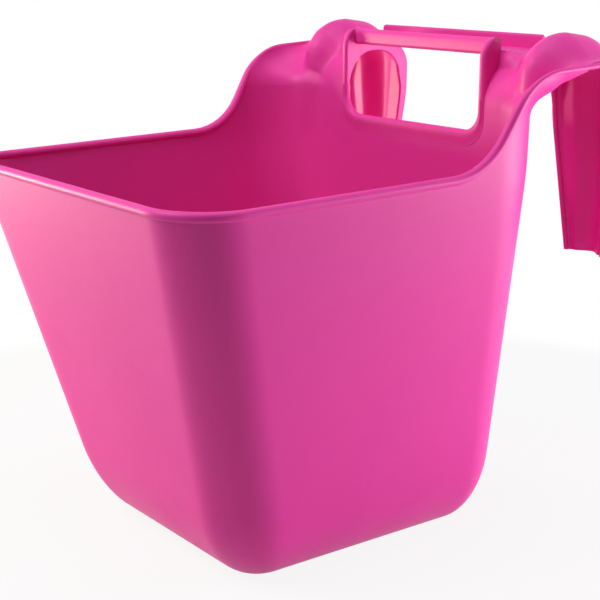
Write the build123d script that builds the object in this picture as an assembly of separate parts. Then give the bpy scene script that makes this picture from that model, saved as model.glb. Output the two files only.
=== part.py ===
from build123d import *
import math
import os

# Hanging feed bucket, one moulding in even wall thickness, split here into its working zones.
# Millimetres. +Z is up, -Y is the front of the bucket, +Y is the side that hangs on a door or rail.
# The origin is on the floor under the middle of the whole bucket, hooks included.

# Tub
wall = 3.5
rim_height = 264.0
base_width = 207.6
side_lean = 0.1807
base_depth = 228.3
front_lean = 0.2576
front_corner_base = 39.0
front_corner_rim = 42.0
back_corner_base = 34.0
back_corner_rim = 55.3
foot_inset = 30.0
foot_rise = 54.0
upper_lean = 0.0724

# Rim bead and the shoulders that it climbs, in side view
bead_radius = 3.3
bead_front_drop = 1.2
shoulder_foot_reach = 69.0
shoulder_foot_rise = 3.7
shoulder_top_reach = 31.5
shoulder_top_drop = 3.0
bead_end_rise = 0.3
foot_bend_radius = 50.0
top_bend_radius = 45.0
end_bend_radius = 30.0

# Hooks: the channel that goes over a door or rail
hook_width = 73.0
hook_spring_height = 301.0
hook_front_radius = 32.0
crown_flat = 16.0
hook_rear_radius = 20.0
gusset_arch_radius = 28.7
gusset_foot_drop = 25.0
crown_corner_radius = 6.0
leg_bottom_height = 195.5
leg_bottom_width = 37.0
leg_corner_radius = 4.0

# Rib over each hook: its largest height over the sheet and half width, and how they change along it
rib_height = 17.2
rib_half_width = 22.0
rib_front_angles = (2.0, 18.0, 31.0, 43.0, 58.0, 74.0, 90.0)
rib_front_height_shares = (0.093, 0.273, 0.512, 0.779, 0.93, 0.983, 1.0)
rib_front_width_shares = (0.318, 0.455, 0.614, 0.773, 0.909, 0.977, 1.0)
rib_rear_angles = (90.0, 65.0, 40.0, 18.0)
rib_rear_height_shares = (0.826, 0.698, 0.628, 0.64)
rib_rear_width_shares = (1.0, 0.955, 0.909, 0.841)
rib_leg_drop_shares = (0.351, 0.682, 1.0)
rib_leg_height_shares = (0.64, 0.494, 0.349)
rib_leg_width_shares = (0.705, 0.568, 0.477)

# Hand hole: a low frame round its sill, an upright at each side that bends back at its top,
# the grab bar set back between the uprights, and the deck and rear bar behind it
hole_bottom_drop = 17.5
hole_bottom_corner = 15.0
frame_bottom_width = 8.5
frame_proud = 0.5
frame_bottom_corner = 22.0
frame_edge_radius = 2.8
upright_width = 10.0
upright_foot_depth = 7.0
upright_bend_radius = 14.0
bar_setback = 11.0
bar_depth = 10.0
bar_height = 12.0
bar_rise = 0.5
bar_edge_radius = 4.0
rear_bar_height = 10.0
rear_bar_thickness = 4.0
rear_bar_edge_radius = 1.6

# How far a cutting block runs past what it cuts
cut_margin = 1.0

# Places that follow from the sizes above
base_half = base_width / 2
rim_half = base_half + side_lean * rim_height
bead_front_height = rim_height - bead_front_drop
rim_front_run = base_depth + front_lean * bead_front_height
front_reach = rim_front_run - wall / 2 + bead_radius
web_reach = hook_front_radius + crown_flat + hook_rear_radius
rear_reach = web_reach + rib_height * max(rib_leg_height_shares)
back_y = (front_reach - rear_reach) / 2
arch_y = back_y + hook_front_radius
crown_end_y = arch_y + crown_flat
web_y = back_y + web_reach
tip_y = arch_y + gusset_arch_radius
sheet_radius = hook_front_radius + wall
crown_under = hook_spring_height + hook_front_radius
crown_top = crown_under + wall
rear_centre_height = crown_top - hook_rear_radius
hook_outer_x = rim_half + upper_lean * (crown_under - rim_height)
hook_inner_x = hook_outer_x - hook_width
hook_middle_x = hook_outer_x - hook_width / 2
gusset_outer_x = hook_inner_x + wall
leg_drop = hook_spring_height - leg_bottom_height
shoulder_foot_height = rim_height + shoulder_foot_rise
shoulder_top_height = crown_under - shoulder_top_drop
shoulder_end_height = crown_under + bead_end_rise
shoulder_foot_y = back_y - shoulder_foot_reach
shoulder_top_y = back_y - shoulder_top_reach
reach_all = 2 * (front_reach + rear_reach)
side_slope = math.hypot(1, upper_lean)
half_turn = math.sqrt(0.5)
hole_half_width = hook_inner_x - upright_width
hole_bottom = hook_spring_height - hole_bottom_drop
frame_bottom = hole_bottom - frame_bottom_width
frame_front_y = back_y - wall - frame_proud
bar_bottom = crown_top + bar_rise
bar_top = bar_bottom + bar_height
bar_front_y = frame_front_y + bar_setback
bar_back_y = bar_front_y + bar_depth


def side_x(height):
    """Outer face of the side wall at a height; it stands more upright above the rim."""
    return base_half + side_lean * min(height, rim_height) + upper_lean * max(height - rim_height, 0)


def front_y(height):
    """Outer face of the front wall at a height."""
    return back_y - base_depth - front_lean * height


def corner_radius(at_base, at_rim, height):
    """Radius of an upright corner at a height."""
    return at_base + (at_rim - at_base) * height / rim_height


def tub_outline(height, inset):
    """Level outline of the tub at a height, drawn in from its outer face by inset."""
    half = side_x(height) - inset
    front = front_y(height) + inset
    back = back_y - inset
    corners = [(half, front), (half, back), (-half, back), (-half, front)]
    front_radius = corner_radius(front_corner_base, front_corner_rim, height) - inset
    back_radius = corner_radius(back_corner_base, back_corner_rim, height) - inset
    radii = [front_radius, back_radius, back_radius, front_radius]
    return (Plane.XY.offset(height) * FilletPolyline(*corners, radius=radii, close=True)).wire()


def foot_body(inset):
    """Solid foot of the tub, drawn in by inset: its sides curve in to the floor as a quarter of an oval."""
    outlines = []
    for angle in range(0, 91, 10):
        turn = math.radians(angle)
        height = inset + (foot_rise - inset) * (1 - math.cos(turn))
        outlines.append(tub_outline(height, inset + (foot_inset - inset) * (1 - math.sin(turn))))
    return Part() + Solid.make_loft(outlines, ruled=True)


def upper_body(inset):
    """Solid tub above its foot, drawn in by inset, up to the springing of the hooks."""
    outlines = [tub_outline(level, inset) for level in (foot_rise, rim_height, hook_spring_height)]
    return Part() + Solid.make_loft(outlines, ruled=True)


def side_slab(outline, x_from, x_to):
    """Slab with a side-view outline of (y, z) edges, between two x planes."""
    face = Plane.YZ.offset(x_from) * make_face(outline)
    return extrude(face, amount=x_to - x_from, dir=(1, 0, 0))


def block(x_range, y_range, z_range):
    """Box between two values on each axis."""
    size = [high - low for low, high in (x_range, y_range, z_range)]
    middle = [(high + low) / 2 for low, high in (x_range, y_range, z_range)]
    return Pos(*middle) * Box(*size)


def mirrored(solid):
    """The same solid on the other side of the bucket."""
    return mirror(solid, about=Plane.YZ)


def ray_point(x, radius, angle):
    """Point at x that lies out from the hook's front centre line at an angle over the level."""
    turn = math.radians(angle)
    return (x, arch_y - radius * math.cos(turn), hook_spring_height + radius * math.sin(turn))


def shoulder_section(angle, depth):
    """Closed outline across the shoulder at an angle, from a surface depth above its underside outwards."""
    turn = math.radians(angle)
    lean = upper_lean * math.sin(turn)
    slope = math.hypot(1, lean)
    share = 1 - (1 - angle / 90) ** 2
    corner = shoulder_corner + (crown_corner_radius - shoulder_corner) * share
    top = shoulder_cover_radius(angle)
    floor = hook_front_radius + depth
    centre_radius = hook_front_radius + corner

    def flank(radius):
        """Side face, drawn in by depth, at a radius from the hook's front centre line."""
        height = hook_spring_height + radius * math.sin(turn)
        return side_x(height) - depth * slope

    def out(x, radius):
        """Point of this section."""
        return ray_point(x, radius, angle)

    bend = corner - depth
    centre_x = flank(centre_radius) - bend * slope
    side_normal = (1 / slope, -lean / slope)
    middle = (side_normal[0], side_normal[1] - 1)
    length = math.hypot(*middle)
    start = out(centre_x, floor)
    through = out(centre_x + bend * middle[0] / length, centre_radius + bend * middle[1] / length)
    end = out(centre_x + bend * side_normal[0], centre_radius + bend * side_normal[1])
    lines = [
        Edge.make_line(out(gusset_outer_x, floor), start),
        Edge.make_three_point_arc(start, through, end),
        Edge.make_line(end, out(flank(top), top)),
        Edge.make_line(out(flank(top), top), out(gusset_outer_x, top)),
        Edge.make_line(out(gusset_outer_x, top), out(gusset_outer_x, floor)),
    ]
    return Wire(lines)


def shoulder_cover_radius(angle):
    """Radius that passes over the shoulder's trimmed edge at an angle."""
    low_cover = shoulder_foot_reach + hook_front_radius
    high_cover = sheet_radius + rib_height + bead_radius
    return low_cover + (high_cover - low_cover) * angle / 90


def shoulder_body(depth):
    """Solid that fills the tub's side of the shoulder down to a surface depth above its underside."""
    angles = range(0, 91, 10)
    outlines = [shoulder_section(angle, depth) for angle in angles]
    return Part() + Solid.make_loft(outlines, ruled=True)


def rib_section(y, z, tilt, height, half, drop):
    """Domed outline over the sheet at (y, z), square to it; tilt is its outward angle over the level.

    drop lowers the whole dome into the sheet and draws its sides in by as much.
    """
    out = (math.cos(math.radians(tilt)), math.sin(math.radians(tilt)))

    def at(across, up):
        """Point across the rib and up from the sheet."""
        return (hook_middle_x + across, y + out[0] * up, z + out[1] * up)

    side = half - drop
    low = -drop
    foot = -2 * wall - drop
    lines = [
        Edge.make_three_point_arc(at(-side, low), at(0, height - drop), at(side, low)),
        Edge.make_line(at(side, low), at(side, foot)),
        Edge.make_line(at(side, foot), at(-side, foot)),
        Edge.make_line(at(-side, foot), at(-side, low)),
    ]
    return Wire(lines)


def rib_body(drop):
    """Dome along the whole hook, from its toe on the tub to the leg's end, lowered by drop."""
    sections = []
    front = zip(rib_front_angles, rib_front_height_shares, rib_front_width_shares)
    rear = zip(rib_rear_angles, rib_rear_height_shares, rib_rear_width_shares)
    leg = zip(rib_leg_drop_shares, rib_leg_height_shares, rib_leg_width_shares)
    for angle, tall, wide in front:
        place = ray_point(0, sheet_radius, angle)
        size = (rib_height * tall, rib_half_width * wide)
        sections.append(rib_section(place[1], place[2], 180 - angle, *size, drop))
    for angle, tall, wide in rear:
        turn = math.radians(angle)
        y = crown_end_y + hook_rear_radius * math.cos(turn)
        z = rear_centre_height + hook_rear_radius * math.sin(turn)
        size = (rib_height * tall, rib_half_width * wide)
        sections.append(rib_section(y, z, angle, *size, drop))
    for share, tall, wide in leg:
        size = (rib_height * tall, rib_half_width * wide)
        sections.append(rib_section(web_y, hook_spring_height - leg_drop * share, 0, *size, drop))
    return Part() + Solid.make_loft(sections, ruled=True)


def hook_channel(depth):
    """Side-view outline of the hook's hollow, grown by depth into its sheet, down past the leg."""
    low = leg_bottom_height - wall
    front = hook_front_radius + depth
    rear = hook_rear_radius - wall + depth
    top = crown_under + depth
    front_mid = (arch_y - front * half_turn, hook_spring_height + front * half_turn)
    rear_mid = (crown_end_y + rear * half_turn, rear_centre_height + rear * half_turn)
    lines = [
        Line((arch_y - front, low), (arch_y - front, hook_spring_height)),
        ThreePointArc((arch_y - front, hook_spring_height), front_mid, (arch_y, top)),
        Line((arch_y, top), (crown_end_y, top)),
        ThreePointArc((crown_end_y, top), rear_mid, (crown_end_y + rear, rear_centre_height)),
        Line((crown_end_y + rear, rear_centre_height), (crown_end_y + rear, low)),
        Line((crown_end_y + rear, low), (arch_y - front, low)),
    ]
    return Curve() + lines


# Tub shell up to the springing of the hooks
shoulder_corner = corner_radius(back_corner_base, back_corner_rim, hook_spring_height)
base = foot_body(0) - foot_body(wall)
tub_shell = upper_body(0) - upper_body(wall)

# Edge of the shell in side view: level along the rim, up each shoulder, level over the hook
bead_side_run = [
    (front_y(bead_front_height) + wall / 2, bead_front_height),
    (shoulder_foot_y, shoulder_foot_height),
    (shoulder_top_y, shoulder_top_height),
    (arch_y, shoulder_end_height),
    (crown_end_y, shoulder_end_height),
]
edge_lift = bead_radius / 3
raised_run = [(y, z + edge_lift) for y, z in bead_side_run[:3]]
raised_run += [(arch_y, crown_top + edge_lift), (crown_end_y, crown_top + edge_lift)]
raised_run.insert(0, (-reach_all, raised_run[0][1]))
edge_bends = [0, foot_bend_radius, top_bend_radius, end_bend_radius]
edge_line = FilletPolyline(*raised_run, radius=edge_bends)
edge_close = Polyline(raised_run[-1], (crown_end_y, 0), (-reach_all, 0), raised_run[0])
below_edge = side_slab(Curve() + [edge_line, edge_close], -reach_all, reach_all)
tub_shell = tub_shell & below_edge

# Rim bead: a round bead on the middle of the wall, from one hook's crown to the other's
bead_rise = [(side_x(z) - wall / 2 * side_slope, y, z) for y, z in bead_side_run]
right_run = bead_rise[::-1]
left_run = [(-x, y, z) for x, y, z in reversed(right_run)]
corner_bend = front_corner_rim - wall / 2
half_bends = [end_bend_radius, top_bend_radius, foot_bend_radius, corner_bend]
bead_path = FilletPolyline(*right_run, *left_run, radius=half_bends + half_bends[::-1])
bead_start = Plane(origin=bead_path @ 0, z_dir=bead_path % 0)
rim_bead = sweep(bead_start * Circle(bead_radius), path=bead_path)

# Hand hole frame: a low U round the sill and its corners, in the plane of the back wall
frame_points = [
    (-gusset_outer_x, hook_spring_height),
    (-gusset_outer_x, frame_bottom),
    (gusset_outer_x, frame_bottom),
    (gusset_outer_x, hook_spring_height),
]
hole_points = [
    (-hole_half_width, hook_spring_height),
    (-hole_half_width, hole_bottom),
    (hole_half_width, hole_bottom),
    (hole_half_width, hook_spring_height),
]
frame_run = FilletPolyline(*frame_points, radius=frame_bottom_corner)
frame_close = Line(frame_points[-1], frame_points[0])
hole_run = FilletPolyline(*hole_points, radius=hole_bottom_corner)
hole_close = Line(hole_points[-1], hole_points[0])
frame_plane = Plane(origin=(0, back_y, 0), x_dir=(1, 0, 0), z_dir=(0, -1, 0))
frame_depth = back_y - frame_front_y
frame_plug = extrude(frame_plane * make_face(Curve() + [frame_run, frame_close]), amount=frame_depth)
hole_plug = extrude(frame_plane * make_face(Curve() + [hole_run, hole_close]), amount=frame_depth)
frame_sill = frame_plug - hole_plug

# Uprights: they carry the sides of the hole on past the wall and bend back to the grab bar
bend_y = frame_front_y + upright_bend_radius
bend_z = bar_top - upright_bend_radius
foot_back_y = frame_front_y + upright_foot_depth
upright_outline = Curve() + [
    Line((frame_front_y, hook_spring_height), (frame_front_y, bend_z)),
    ThreePointArc(
        (frame_front_y, bend_z),
        (bend_y - upright_bend_radius * half_turn, bend_z + upright_bend_radius * half_turn),
        (bend_y, bar_top),
    ),
    Line((bend_y, bar_top), (bar_back_y, bar_top)),
    Line((bar_back_y, bar_top), (bar_back_y, crown_top)),
    Line((bar_back_y, crown_top), (foot_back_y, crown_top)),
    Line((foot_back_y, crown_top), (foot_back_y, hook_spring_height)),
    Line((foot_back_y, hook_spring_height), (frame_front_y, hook_spring_height)),
]
right_upright = side_slab(upright_outline, hole_half_width, hook_inner_x)
front_bends = right_upright.edges().filter_by(lambda edge: edge.center().Y < bend_y - cut_margin)
front_bends = front_bends.filter_by(lambda edge: abs(edge.tangent_at(0.5).X) < 0.5)
front_bends = front_bends.filter_by(lambda edge: edge.center().Z > hook_spring_height + cut_margin)
right_upright = fillet(front_bends, frame_edge_radius)
hand_hole_frame = frame_sill + right_upright + mirrored(right_upright)

# Grab bar between the uprights, and the deck and rear bar behind it
bar_span = (-hole_half_width, hole_half_width)
grab_bar = block(bar_span, (bar_front_y, bar_back_y), (bar_bottom, bar_top))
grab_bar = fillet(grab_bar.edges().filter_by(Axis.X), bar_edge_radius)
deck_top = crown_top + wall
handle_deck = block((-gusset_outer_x, gusset_outer_x), (bar_back_y, crown_end_y), (crown_top, deck_top))
rear_bar = block(
    (-gusset_outer_x, gusset_outer_x),
    (crown_end_y - rear_bar_thickness, crown_end_y),
    (deck_top, deck_top + rear_bar_height),
)
rear_bar = fillet(rear_bar.edges().group_by(Axis.Z)[-1].filter_by(Axis.X), rear_bar_edge_radius)

# Gusset: the inner side plate of a hook, with the arch that takes the door or rail
rear_bend_mid = (
    crown_end_y + hook_rear_radius * half_turn,
    rear_centre_height + hook_rear_radius * half_turn,
)
gusset_outline = Curve() + [
    Line((back_y, hook_spring_height - gusset_foot_drop), (back_y, crown_top)),
    Line((back_y, crown_top), (crown_end_y, crown_top)),
    ThreePointArc((crown_end_y, crown_top), rear_bend_mid, (web_y, rear_centre_height)),
    Line((web_y, rear_centre_height), (web_y, hook_spring_height)),
    Line((web_y, hook_spring_height), (tip_y, hook_spring_height)),
    ThreePointArc(
        (tip_y, hook_spring_height),
        (arch_y, hook_spring_height + gusset_arch_radius),
        (arch_y - gusset_arch_radius, hook_spring_height),
    ),
    Line((arch_y - gusset_arch_radius, hook_spring_height), (back_y, hook_spring_height - gusset_foot_drop)),
]
right_gusset = side_slab(gusset_outline, hook_inner_x, gusset_outer_x)

# Rib bodies: outside and hollow inside
rib_outside = rib_body(0)
rib_inside = rib_body(wall)

# Saddle: back wall and side wall swept back round the hook's front bend, then level and down again
shoulder_fill = shoulder_body(0)
shoulder_shell = (shoulder_fill - shoulder_body(wall)) & below_edge
channel_space = side_slab(hook_channel(0), -reach_all, reach_all)
crown_slab = side_slab(hook_channel(wall), gusset_outer_x, hook_outer_x)
behind_crown = block(
    (0, hook_outer_x),
    (arch_y, web_y + cut_margin),
    (hook_spring_height, crown_top + cut_margin),
)
rear_sheet = (crown_slab - channel_space) & behind_crown
flange_bend = hook_rear_radius - wall
flange_outline = Curve() + [
    Line((arch_y, crown_under), (crown_end_y, crown_under)),
    ThreePointArc(
        (crown_end_y, crown_under),
        (crown_end_y + flange_bend * half_turn, rear_centre_height + flange_bend * half_turn),
        (web_y - wall, rear_centre_height),
    ),
    Line((web_y - wall, rear_centre_height), (web_y - wall, hook_spring_height)),
    Line((web_y - wall, hook_spring_height), (tip_y, hook_spring_height)),
    ThreePointArc(
        (tip_y, hook_spring_height),
        (arch_y + gusset_arch_radius * half_turn, hook_spring_height + hook_front_radius * half_turn),
        (arch_y, crown_under),
    ),
]
outer_flange = side_slab(flange_outline, hook_outer_x - wall, hook_outer_x)
right_hook_saddle = shoulder_shell + rear_sheet + outer_flange - rib_outside - rim_bead

# Rib over the saddle: the dome's wall, cut flush with the underside of the sheet
front_half = block((0, hook_outer_x), (back_y - reach_all, arch_y), (hook_spring_height, reach_all))
rear_half = block((0, hook_outer_x), (arch_y, reach_all), (hook_spring_height, reach_all))
rib_shell = rib_outside - rib_inside
rib_front = rib_shell & shoulder_fill & front_half
rib_rear = (rib_shell & rear_half) - channel_space
right_hook_rib = rib_front + rib_rear

# Leg: a tapered channel that opens towards the tub, with the rib's groove along its web
leg_half = leg_bottom_width / 2
leg_points = [
    (hook_inner_x, hook_spring_height),
    (hook_outer_x, hook_spring_height),
    (hook_middle_x + leg_half, leg_bottom_height),
    (hook_middle_x - leg_half, leg_bottom_height),
]
leg_bends = [0, 0, leg_corner_radius, leg_corner_radius]
leg_plane = Plane(origin=(0, web_y, 0), x_dir=(1, 0, 0), z_dir=(0, -1, 0))
leg_outline = make_face(FilletPolyline(*leg_points, radius=leg_bends, close=True))
leg_block = extrude(leg_plane * leg_outline, amount=web_y - tip_y)
leg_taper = ((hook_outer_x - hook_inner_x) / 2 - leg_half) / (hook_spring_height - leg_bottom_height)
pocket_bottom_height = leg_bottom_height - wall
pocket_half = leg_half - wall - leg_taper * wall
pocket_points = [
    (gusset_outer_x, hook_spring_height),
    (hook_outer_x - wall, hook_spring_height),
    (hook_middle_x + pocket_half, pocket_bottom_height),
    (hook_middle_x - pocket_half, pocket_bottom_height),
]
pocket_outline = make_face(Polyline(*pocket_points, close=True))
leg_pocket = extrude(leg_plane.offset(wall) * pocket_outline, amount=web_y - tip_y)
lower_half = block((0, hook_outer_x), (tip_y, reach_all), (0, hook_spring_height))
right_hook_leg = (leg_block + (rib_outside & lower_half)) - leg_pocket - rib_inside

# Walls of the tub
walls = tub_shell - rim_bead
back_edge_y = back_y - shoulder_corner
wall_levels = (foot_rise, hook_spring_height)
back_zone = block((-reach_all, reach_all), (back_edge_y, back_y + cut_margin), wall_levels)
front_zone_face = Polyline(
    (front_y(foot_rise) + front_corner_rim, foot_rise),
    (front_y(hook_spring_height) + front_corner_rim, hook_spring_height),
    (-reach_all, hook_spring_height),
    (-reach_all, foot_rise),
    close=True,
)
front_zone = side_slab(Curve() + front_zone_face, -reach_all, reach_all)
right_zone = block((0, reach_all), (-reach_all, back_edge_y), wall_levels)
back_wall = (walls & back_zone) - frame_plug
front_wall = walls & front_zone
right_side_wall = (walls & right_zone) - front_zone

nodes = {
    "base": base,
    "front_wall": front_wall,
    "back_wall": back_wall,
    "rim_bead": rim_bead,
    "hand_hole_frame": hand_hole_frame,
    "grab_bar": grab_bar,
    "handle_deck": handle_deck,
    "rear_bar": rear_bar,
}
paired = {
    "side_wall": right_side_wall,
    "gusset": right_gusset,
    "hook_saddle": right_hook_saddle,
    "hook_rib": right_hook_rib,
    "hook_leg": right_hook_leg,
}
for name, solid in paired.items():
    nodes["right_" + name] = solid
    nodes["left_" + name] = mirrored(solid)

os.makedirs("parts", exist_ok=True)
for name, solid in nodes.items():
    export_step(solid, "parts/" + name + ".step")
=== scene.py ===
# %% [markdown]
# # A hanging feed bucket
# The real object is one moulding of satin pink polyethylene: a tub with a rolled rim,
# two hooks that go over a stall door, and a hand hole between them.
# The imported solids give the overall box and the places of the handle. Each zone gets a smooth
# skin here, worked out with numpy as a function on a grid, because a moulding has no sharp
# joints between its zones.

# %% Load the frame
import math

import bpy
import numpy as np
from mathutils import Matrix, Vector


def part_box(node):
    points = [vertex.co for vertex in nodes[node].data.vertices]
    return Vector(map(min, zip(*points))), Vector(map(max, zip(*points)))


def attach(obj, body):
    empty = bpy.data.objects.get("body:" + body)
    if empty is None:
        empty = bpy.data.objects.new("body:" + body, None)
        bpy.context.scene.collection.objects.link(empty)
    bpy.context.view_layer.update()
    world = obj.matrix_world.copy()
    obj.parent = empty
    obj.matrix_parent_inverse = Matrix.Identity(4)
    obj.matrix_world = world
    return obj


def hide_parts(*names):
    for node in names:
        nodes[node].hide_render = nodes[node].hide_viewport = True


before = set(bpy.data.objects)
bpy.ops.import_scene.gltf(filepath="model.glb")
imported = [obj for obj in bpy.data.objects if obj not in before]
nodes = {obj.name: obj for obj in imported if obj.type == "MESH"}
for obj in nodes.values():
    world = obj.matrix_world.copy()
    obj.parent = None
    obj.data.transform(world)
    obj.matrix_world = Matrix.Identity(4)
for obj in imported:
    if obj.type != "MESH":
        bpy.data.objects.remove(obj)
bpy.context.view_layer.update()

# %% [markdown]
# ## Sizes
# Shapes are worked out in millimetres and become metres in the mesh. The plane of the back wall
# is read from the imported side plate. The other sizes repeat those of the CAD part, because this
# script reads nothing but the frame. Those that several pieces share come first.

# %% Sizes that several pieces share
MM = 0.001
wall = 3.5
rim_height = 264.0
hook_x = 120.0
hook_half = 36.5
spring = 301.0
arch_radius = 32.0
crown_flat = 16.0
rear_radius = 20.0
hole_half = 73.5
sill = 283.5
sill_corner = 15.0
roll = 6.5
back_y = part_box("right_gusset")[0].y / MM
arch_y = back_y + arch_radius
crown_end = arch_y + crown_flat
crown_under = spring + arch_radius
rear_z = crown_under + wall - rear_radius
web_y = crown_end + rear_radius
print("back wall at", round(back_y, 2), "hook web at", round(web_y, 2))

# %% [markdown]
# ## Helpers for surfaces
# Moulded plastic has no hard kinks, so values change along a shape by a smooth step, and a line
# that bends gets an arc at each bend. These few helpers serve every piece.

# %% Smooth steps and softened corners
def smooth(value, low, high):
    """0 below low and 1 above high, with the cubic 3t*t - 2t*t*t in between."""
    t = np.clip((value - low) / (high - low), 0, 1)
    return t * t * (3 - 2 * t)


def softened(value, knee, width):
    """How far value is past knee, with the kink rounded over about width."""
    return width * np.logaddexp(0, (value - knee) / width)


def rounded_path(points, radii, step=6):
    """Polyline whose inner corners are arcs of their radius, with a point every step degrees."""
    points = np.asarray(points, float)
    out = [points[:1]]
    for before, corner, after, radius in zip(points, points[1:], points[2:], radii):
        a = (before - corner) / np.linalg.norm(before - corner)
        b = (after - corner) / np.linalg.norm(after - corner)
        half = math.acos(np.clip(a @ b, -1, 1)) / 2
        middle = (a + b) / np.linalg.norm(a + b)
        centre = corner + middle * radius / math.sin(half)
        start = corner + a * radius / math.tan(half) - centre
        turn = math.pi - 2 * half
        across = (corner + b * radius / math.tan(half) - centre) - start * math.cos(turn)
        across /= np.linalg.norm(across)
        t = np.linspace(0, turn, max(int(math.degrees(turn) / step), 4))[:, None]
        out.append(centre + start * np.cos(t) + across * radius * np.sin(t))
    out.append(points[-1:])
    return np.concatenate(out)


def resample(path, spacing):
    """The same path with points at even distances along it."""
    run = np.concatenate([[0], np.cumsum(np.linalg.norm(np.diff(path, axis=0), axis=1))])
    even = np.linspace(0, run[-1], max(int(run[-1] / spacing), 2))
    return np.stack([np.interp(even, run, path[:, axis]) for axis in range(path.shape[1])], 1)


print("softened knee at 0:", round(float(softened(0.0, 0.0, 6.0)), 2), "mm")

# %% [markdown]
# A shape here is a grid of points. `grid_piece` joins the points of neighbouring rows and
# columns with faces, and closes the two ends. Whole arrays are handed to the mesh at once, which
# is quick and keeps the formula for the shape in one place. A folded sheet needs a ladder of
# small faces at its ends, because one large face over a hollow outline is filled wrongly.

# %% Mesh from a grid of points
def ladder(ring, matched, lip, turned):
    """Close a folded sheet's end with rungs between column k and the column opposite it."""
    last = 2 * matched + lip - 1
    k = np.arange(matched - 1)
    faces = np.stack([ring[k], ring[k + 1], ring[last - 1 - k], ring[last - k]], 1).tolist()
    faces.append(ring[matched - 1 : matched + lip + 1].tolist())
    faces.append(ring[last:].tolist() + [int(ring[0])])
    return [face[::-1] for face in faces] if turned else faces


def grid_piece(name, grid, ends="cap"):
    """Tube of closed sections: grid[row, column] with the last column joined to the first.

    ends is "cap" for a flat face over each end row, "fan" for a point in the middle of each, and
    a pair of numbers for a folded sheet: how many columns its upper face has, and how many the
    lip has that leads over to its lower face.
    """
    rows, cols = grid.shape[:2]
    verts = grid.reshape(-1, 3) * MM
    place = np.arange(rows * cols).reshape(rows, cols)
    here, there = place[:-1], place[1:]
    first, last = place[0], place[-1]
    quads = np.stack([here, np.roll(here, -1, 1), np.roll(there, -1, 1), there], -1)
    faces = quads.reshape(-1, 4).tolist()
    if ends == "cap":
        faces += [first[::-1].tolist(), last.tolist()]
    elif ends == "fan":
        poles = np.stack([verts[first].mean(0), verts[last].mean(0)])
        low, high = rows * cols, rows * cols + 1
        faces += np.stack([np.roll(first, -1), first, np.full(cols, low)], 1).tolist()
        faces += np.stack([last, np.roll(last, -1), np.full(cols, high)], 1).tolist()
        verts = np.concatenate([verts, poles])
    else:
        faces += ladder(first, *ends, True) + ladder(last, *ends, False)
    mesh = bpy.data.meshes.new(name)
    mesh.from_pydata(verts.tolist(), [], faces)
    mesh.validate()
    piece = bpy.data.objects.new(name, mesh)
    bpy.context.scene.collection.objects.link(piece)
    face_outwards(piece)
    mesh.shade_smooth()
    return piece


def signed_volume(mesh):
    """Volume of a closed mesh, which is negative where its faces point inwards."""
    mesh.calc_loop_triangles()
    corners = np.empty(len(mesh.loop_triangles) * 3, np.int32)
    mesh.loop_triangles.foreach_get("vertices", corners)
    points = np.empty(len(mesh.vertices) * 3)
    mesh.vertices.foreach_get("co", points)
    a, b, c = points.reshape(-1, 3)[corners.reshape(-1, 3)].transpose(1, 0, 2)
    return float((a * np.cross(b, c)).sum() / 6)


def face_outwards(piece):
    """Turn the faces round if they enclose a negative volume."""
    if signed_volume(piece.data) < 0:
        piece.data.flip_normals()
    piece.data.update()


def mirrored(grid):
    """The same grid on the other side of the bucket."""
    return grid * np.array([-1.0, 1.0, 1.0])


print("mesh helpers ready")

# %% [markdown]
# Every finished piece hides the imported solids it stands for and rides on the one rigid body;
# its material comes later. The real bucket has no moving part.

# %% Finishing a piece
pieces = []


def finish_piece(piece, *replaced, angle=35):
    """Hide the CAD nodes a piece stands for, keep edges sharper than angle crisp, and ride."""
    chosen = {"object": piece, "active_object": piece, "selected_editable_objects": [piece]}
    with bpy.context.temp_override(**chosen):
        bpy.ops.object.shade_smooth_by_angle(angle=math.radians(angle))
    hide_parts(*replaced)
    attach(piece, "root")
    pieces.append(piece)
    tris = sum(len(p.vertices) - 2 for p in piece.data.polygons)
    volume = round(signed_volume(piece.data) * 1e6, 1)
    print(piece.name, "triangles", tris, "volume cm3", volume)


print("finishing ready")

# %% [markdown]
# ## The tub
# A level cut through the tub is a rectangle with round corners that grows with height. The
# sides lean less above the rim, where they become the flanks of the hooks.

# %% The level outline
base_half = 103.8
side_lean = 0.1807
lean_softness = 5.0
base_depth = 228.3
front_lean = 0.2576
front_corner = (39.0, 42.0)
back_corner = (34.0, 55.3)
upper_lean = (hook_x + hook_half - base_half - side_lean * rim_height) / (crown_under - rim_height)


def side_x(z):
    """Half width of the tub at a height: one lean below the rim, a steeper one above it."""
    past_rim = softened(z, rim_height, lean_softness)
    return base_half + side_lean * z - (side_lean - upper_lean) * past_rim


def front_y(z):
    """The leaning front face."""
    return back_y - base_depth - front_lean * z


def corner_radius(pair, z):
    """Corner radius, growing evenly from the base to the rim."""
    return pair[0] + (pair[1] - pair[0]) * z / rim_height


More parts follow.
